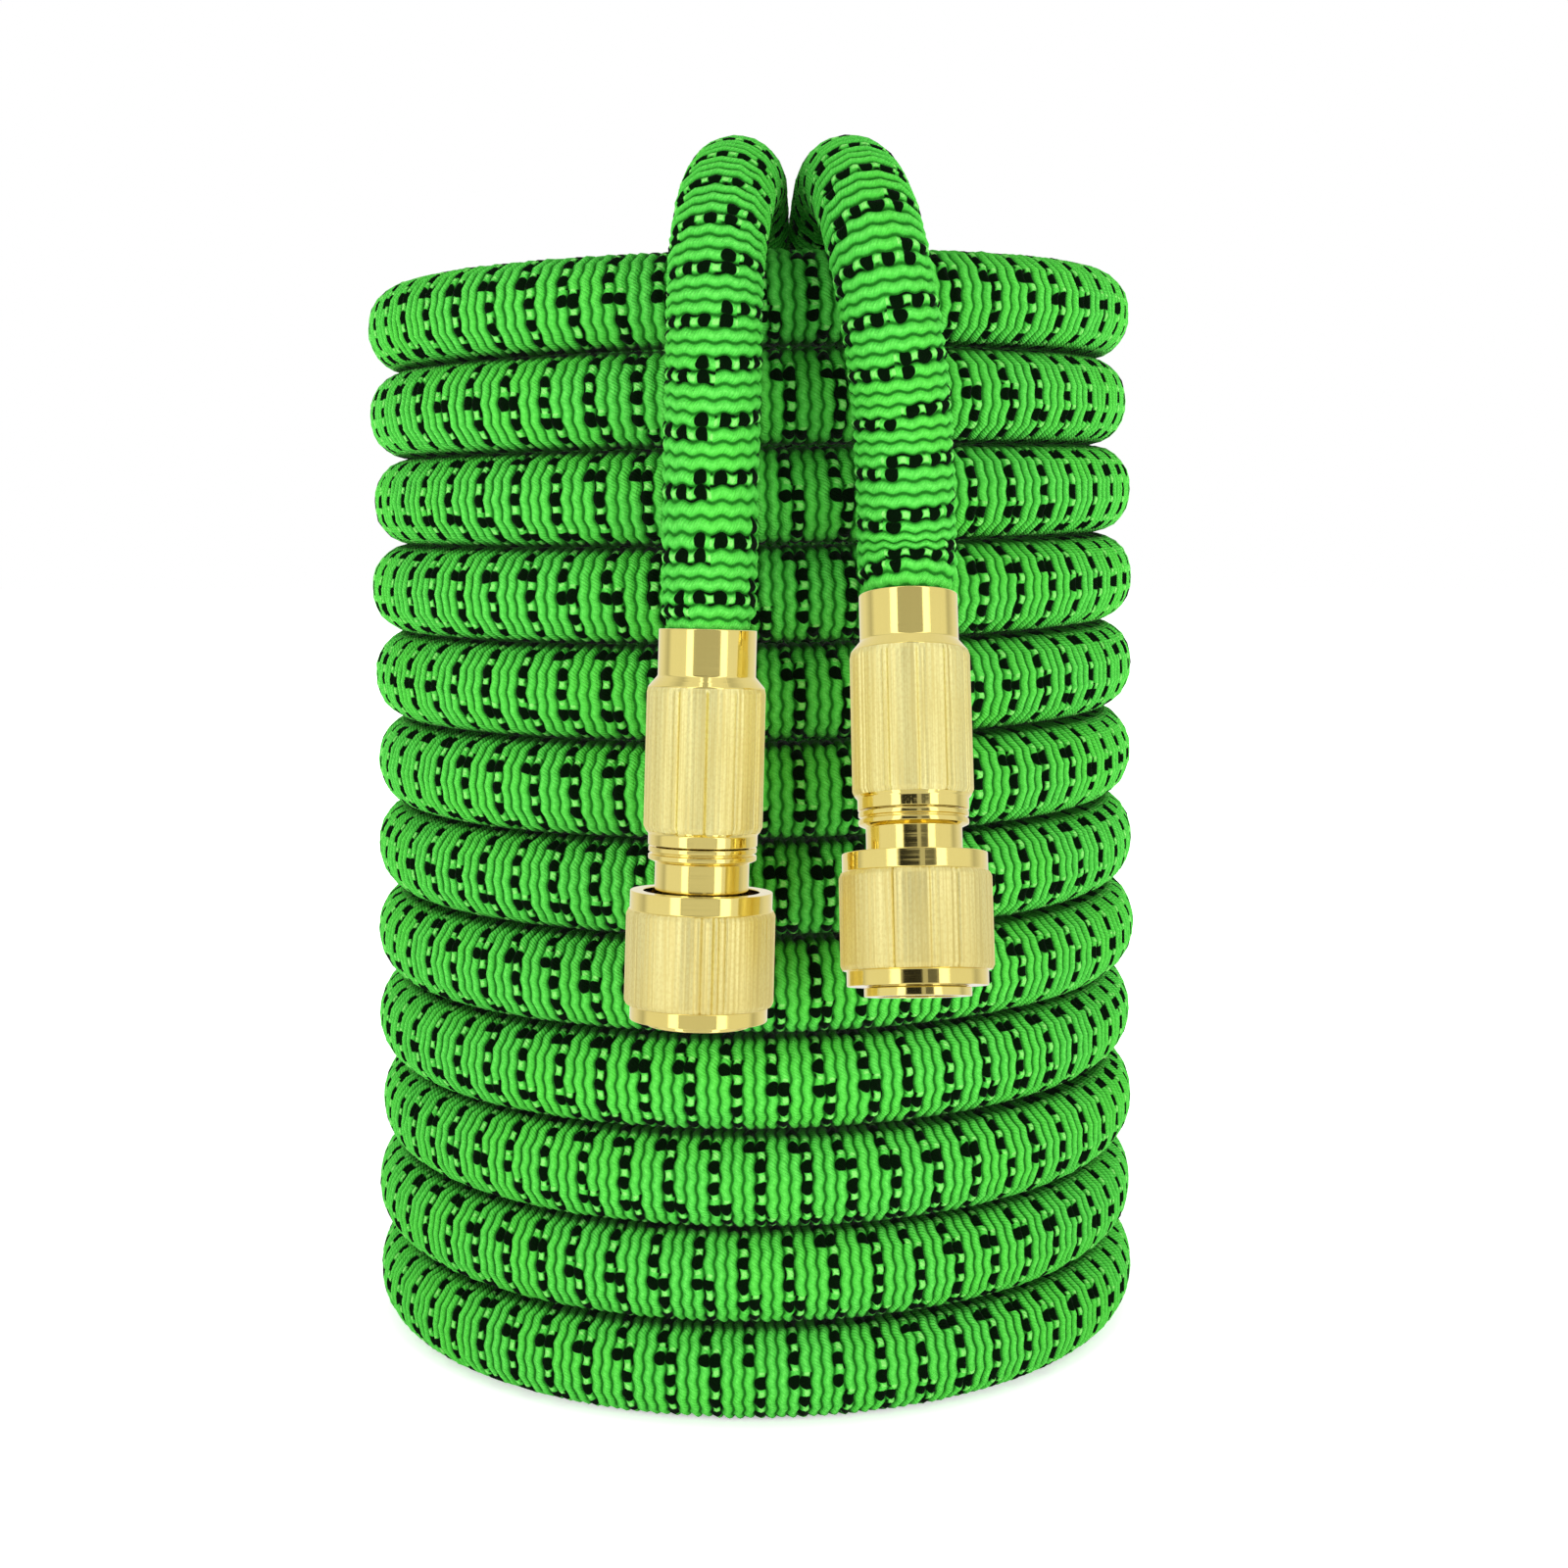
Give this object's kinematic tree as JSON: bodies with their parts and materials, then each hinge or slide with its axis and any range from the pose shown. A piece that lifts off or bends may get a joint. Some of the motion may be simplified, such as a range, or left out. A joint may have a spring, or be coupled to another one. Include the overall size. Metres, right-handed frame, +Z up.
{
  "type": "garden hose",
  "caption": "Coiled expandable garden hose in a green woven jacket, both ends arched over the coil and hanging in brass quick connectors with sliding lock collars.",
  "frame": {"origin": "middle of the bounding box's base, on the floor that the coil stands on", "axes": "+Z up along the coil's axis, -Y towards the front, where both ends hang, +X to the right seen from the front"},
  "size_m": [0.1816, 0.2266, 0.2704],
  "materials": {
    "woven_jacket": "ribbed polyester weave, bright green with rows of black dashes",
    "clamp_nut_brass": "light gold brass, smooth ferrule and fluted grip",
    "connector_body_brass": "light gold brass, polished",
    "lock_collar_brass": "light gold brass, brushed flutes between polished rims"
  },
  "bodies": {
    "hose": {"hose_coil": "woven_jacket", "hose_end_left": "woven_jacket", "hose_end_right": "woven_jacket", "left_clamp_nut": "clamp_nut_brass", "left_connector_body": "connector_body_brass", "right_clamp_nut": "clamp_nut_brass", "right_connector_body": "connector_body_brass"},
    "left_collar": {"left_lock_collar": "lock_collar_brass"},
    "right_collar": {"right_lock_collar": "lock_collar_brass"}
  },
  "joints": [
    {"name": "left_collar_slide", "type": "slide", "parent": "hose", "child": "left_collar", "axis": [0.0244, 0.0692, 0.9973], "range_m": [0, 0.0045], "stiffness_N_per_m": 400, "springref_m": -0.006},
    {"name": "right_collar_slide", "type": "slide", "parent": "hose", "child": "right_collar", "axis": [-0.0119, 0.2419, 0.9702], "range_m": [0, 0.0045], "stiffness_N_per_m": 400, "springref_m": -0.006}
  ]
}
